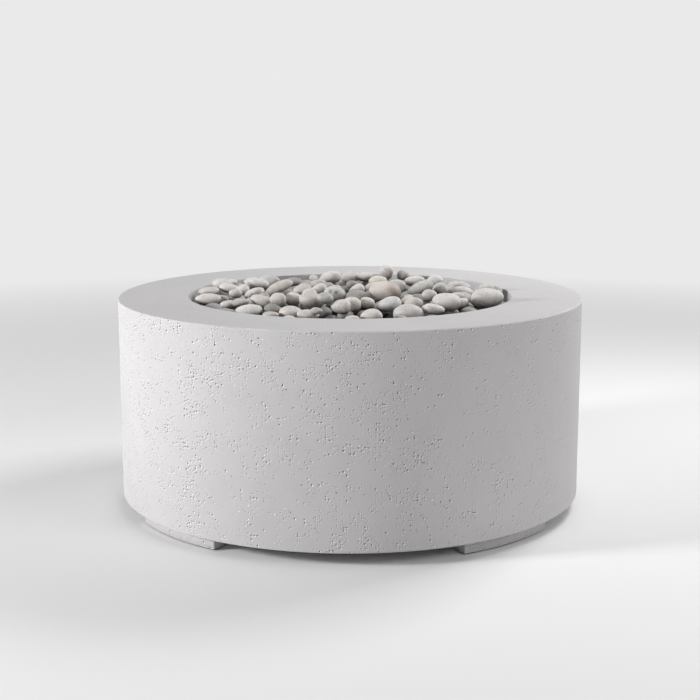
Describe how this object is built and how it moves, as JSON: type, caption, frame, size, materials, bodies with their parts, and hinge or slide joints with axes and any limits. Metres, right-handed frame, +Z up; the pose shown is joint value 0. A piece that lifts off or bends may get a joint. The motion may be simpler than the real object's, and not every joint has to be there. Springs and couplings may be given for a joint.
{
  "type": "fire pit table",
  "caption": "Round concrete fire pit table: a low drum on arc-shaped feet with a wide flat rim, an opening heaped with river stones over a ring burner, and gas controls at the back.",
  "frame": {"origin": "on the floor under the centre of the drum", "axes": "+Z up, -Y the front, +Y the side with the control pocket"},
  "size_m": [1.0668, 1.0667, 0.5264],
  "materials": {
    "concrete": "cast glass-fibre concrete, pale grey, fine pinholes on the side",
    "foot_rubber": "matt black rubber",
    "zinc_steel": "zinc-plated steel",
    "stainless_sheet": "brushed stainless sheet",
    "burner_tube": "stainless tube, heat tinted",
    "plate_screw_steel": "bright stainless",
    "brass_fittings": "machined brass",
    "valve_brass": "forged brass",
    "chromed_ball": "polished",
    "lever_paint": "yellow dipped steel",
    "mixer_iron": "cast iron",
    "shutter_steel": "zinc-plated sleeve",
    "lava_rock": "dark porous lava gravel",
    "river_stone": "smooth tumbled river stone",
    "knob_plastic": "black heat-resistant plastic",
    "igniter_plastic": "black plastic",
    "button_plastic": "glossy black plastic",
    "insulator_ceramic": "white ceramic",
    "bracket_steel": "black powder coat",
    "regulator_casting": "die-cast, grey",
    "hose_rubber": "black gas hose",
    "lead_silicone": "silicone sleeve"
  },
  "bodies": {
    "drum": {"air_mixer": "mixer_iron", "bracket_bolts": "zinc_steel", "bracket_nuts": "zinc_steel", "burner_hose": "hose_rubber", "burner_hose_nuts": "brass_fittings", "burner_pan": "stainless_sheet", "burner_stands": "stainless_sheet", "concrete_drum": "concrete", "control_plate": "stainless_sheet", "electrode_insulator": "insulator_ceramic", "feed_nipple": "brass_fittings", "flame_sensor": "plate_screw_steel", "foot_1": "concrete", "foot_2": "concrete", "foot_3": "concrete", "foot_4": "concrete", "foot_bolts": "zinc_steel", "foot_nuts": "zinc_steel", "foot_pad_1": "foot_rubber", "foot_pad_2": "foot_rubber", "foot_pad_3": "foot_rubber", "foot_pad_4": "foot_rubber", "foot_washers": "zinc_steel", "gas_regulator": "regulator_casting", "gas_valve_body": "brass_fittings", "igniter_housing": "igniter_plastic", "igniter_nut": "igniter_plastic", "ignition_lead": "lead_silicone", "inlet_bracket": "bracket_steel", "inlet_fitting": "brass_fittings", "inlet_locknut": "brass_fittings", "lava_rock_bed": "lava_rock", "orifice_spud": "brass_fittings", "pan_locknut": "zinc_steel", "plate_inserts": "brass_fittings", "plate_screws": "plate_screw_steel", "probe_shelf": "stainless_sheet", "ring_burner": "burner_tube", "river_stones_lower": "river_stone", "river_stones_small": "river_stone", "river_stones_top": "river_stone", "rock_guard": "stainless_sheet", "sensor_lead": "lead_silicone", "shutoff_body": "valve_brass", "spark_electrode": "plate_screw_steel", "stand_screws": "zinc_steel", "supply_hose": "hose_rubber", "supply_hose_nuts": "brass_fittings", "valve_nut": "plate_screw_steel"},
    "knob_push": {"valve_plunger": "brass_fittings"},
    "knob_turn": {"valve_stem": "plate_screw_steel", "control_knob": "knob_plastic"},
    "igniter_push": {"igniter_button": "button_plastic"},
    "shutoff": {"shutoff_ball": "chromed_ball", "shutoff_stem": "zinc_steel", "shutoff_lever": "lever_paint", "lever_nut": "zinc_steel"},
    "shutter": {"air_shutter": "shutter_steel"}
  },
  "joints": [
    {"name": "knob_press", "type": "slide", "parent": "drum", "child": "knob_push", "axis": [0, -1, 0], "range_m": [0, 0.003], "stiffness_N_per_m": 500, "springref_m": -0.004},
    {"name": "knob_rotate", "type": "hinge", "parent": "knob_push", "child": "knob_turn", "pos_m": [-0.035, 0.5, 0.285], "axis": [0, 1, 0], "range_deg": [0, 90]},
    {"name": "igniter_press", "type": "slide", "parent": "drum", "child": "igniter_push", "axis": [0, -1, 0], "range_m": [0, 0.0035], "stiffness_N_per_m": 600, "springref_m": -0.003},
    {"name": "shutoff_rotate", "type": "hinge", "parent": "drum", "child": "shutoff", "pos_m": [-0.18061, 0.3703, 0.115], "axis": [-0.4384, 0.8988, 0], "range_deg": [0, 90]},
    {"name": "shutter_rotate", "type": "hinge", "parent": "drum", "child": "shutter", "pos_m": [0, 0, 0.27], "axis": [0, 0, 1], "range_deg": [0, 60]}
  ]
}
